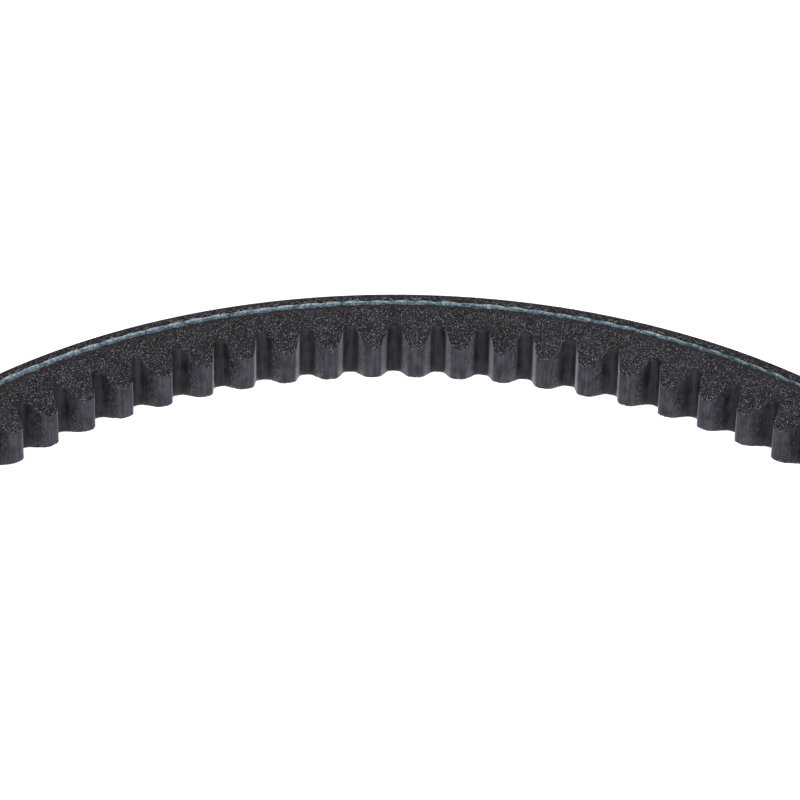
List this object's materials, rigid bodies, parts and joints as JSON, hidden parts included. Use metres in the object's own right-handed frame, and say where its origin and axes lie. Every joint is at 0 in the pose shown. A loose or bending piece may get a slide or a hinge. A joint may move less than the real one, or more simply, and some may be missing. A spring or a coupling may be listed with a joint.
{
  "type": "v belt",
  "caption": "Endless raw-edge V-belt with moulded cogs, a fabric back and an exposed blue tensile cord, lying flat in a circle.",
  "frame": {"origin": "centre of the loop, halfway up the belt's width", "axes": "+Z along the loop's axis; a cog is centred on +Y and on -Y"},
  "size_m": [0.1878, 0.1878, 0.013],
  "materials": {
    "back_fabric": "rubberised weave",
    "adhesion_rubber": "cut, matt",
    "compression_rubber": "ground flanks, moulded cogs",
    "tensile_cord": "twisted polyester, shaved at the flanks"
  },
  "bodies": {
    "root": {"back_fabric_outer_ply": "back_fabric", "back_fabric_inner_ply": "back_fabric", "adhesion_rubber_outer": "adhesion_rubber", "adhesion_rubber_inner": "adhesion_rubber", "compression_rubber": "compression_rubber", "tensile_cord_turn_01": "tensile_cord", "tensile_cord_turn_02": "tensile_cord", "tensile_cord_turn_03": "tensile_cord", "tensile_cord_turn_04": "tensile_cord", "tensile_cord_turn_05": "tensile_cord", "tensile_cord_turn_06": "tensile_cord", "tensile_cord_turn_07": "tensile_cord", "tensile_cord_turn_08": "tensile_cord", "tensile_cord_turn_09": "tensile_cord", "tensile_cord_turn_10": "tensile_cord"}
  },
  "joints": []
}
